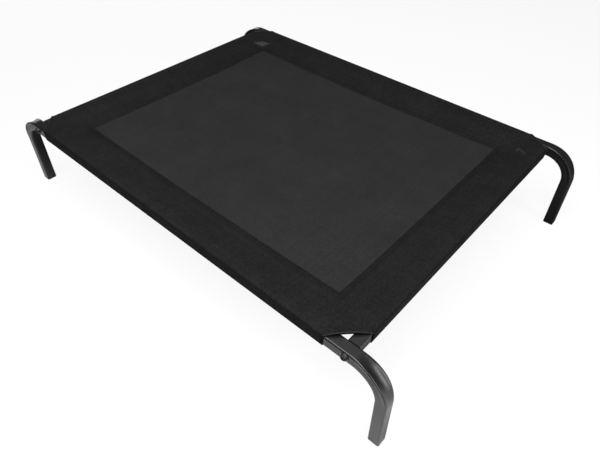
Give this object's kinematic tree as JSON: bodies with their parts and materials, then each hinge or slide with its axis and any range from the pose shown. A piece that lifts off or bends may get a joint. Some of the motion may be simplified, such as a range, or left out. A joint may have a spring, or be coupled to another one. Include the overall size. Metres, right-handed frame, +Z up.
{
  "type": "raised dog bed",
  "caption": "Raised rectangular dog bed: a dark mesh sling hemmed over a bolted square-tube steel frame with legs bent from the long sides.",
  "frame": {"origin": "middle of the bed on the floor, the centre of the bottom of the bounding box", "axes": "+X along the bed's length, +Y across it, +Z up; the front is -Y and the right end is +X"},
  "size_m": [1.1884, 0.8438, 0.2136],
  "materials": {
    "black_powder_coat": "semi-gloss black powder coat",
    "foot_plastic": "black moulded plastic",
    "zinc_steel": "zinc plated",
    "black_bolt_steel": "black oxide",
    "washer_steel": "dark zinc plated",
    "binding_tape": "black woven tape",
    "mesh_cloth": "open coated mesh, single layer",
    "hem_cloth": "coated mesh"
  },
  "bodies": {
    "root": {"leg_front_right": "black_powder_coat", "leg_front_left": "black_powder_coat", "leg_back_right": "black_powder_coat", "leg_back_left": "black_powder_coat", "foot_plug_front_right": "foot_plastic", "foot_plug_front_left": "foot_plastic", "foot_plug_back_right": "foot_plastic", "foot_plug_back_left": "foot_plastic", "spigot_front_right": "zinc_steel", "spigot_front_left": "zinc_steel", "spigot_back_right": "zinc_steel", "spigot_back_left": "zinc_steel", "threaded_insert_front_right": "zinc_steel", "threaded_insert_front_left": "zinc_steel", "threaded_insert_back_right": "zinc_steel", "threaded_insert_back_left": "zinc_steel", "bolt_front_right": "black_bolt_steel", "bolt_front_left": "black_bolt_steel", "bolt_back_right": "black_bolt_steel", "bolt_back_left": "black_bolt_steel", "washer_front_right": "washer_steel", "washer_front_left": "washer_steel", "washer_back_right": "washer_steel", "washer_back_left": "washer_steel", "corner_binding_front_right": "binding_tape", "corner_binding_front_left": "binding_tape", "corner_binding_back_right": "binding_tape", "corner_binding_back_left": "binding_tape", "long_rail_front": "black_powder_coat", "long_rail_back": "black_powder_coat", "short_rail_right": "black_powder_coat", "short_rail_left": "black_powder_coat", "mesh_panel": "mesh_cloth", "hem_front": "hem_cloth", "hem_back": "hem_cloth", "hem_right": "hem_cloth", "hem_left": "hem_cloth"}
  },
  "joints": []
}
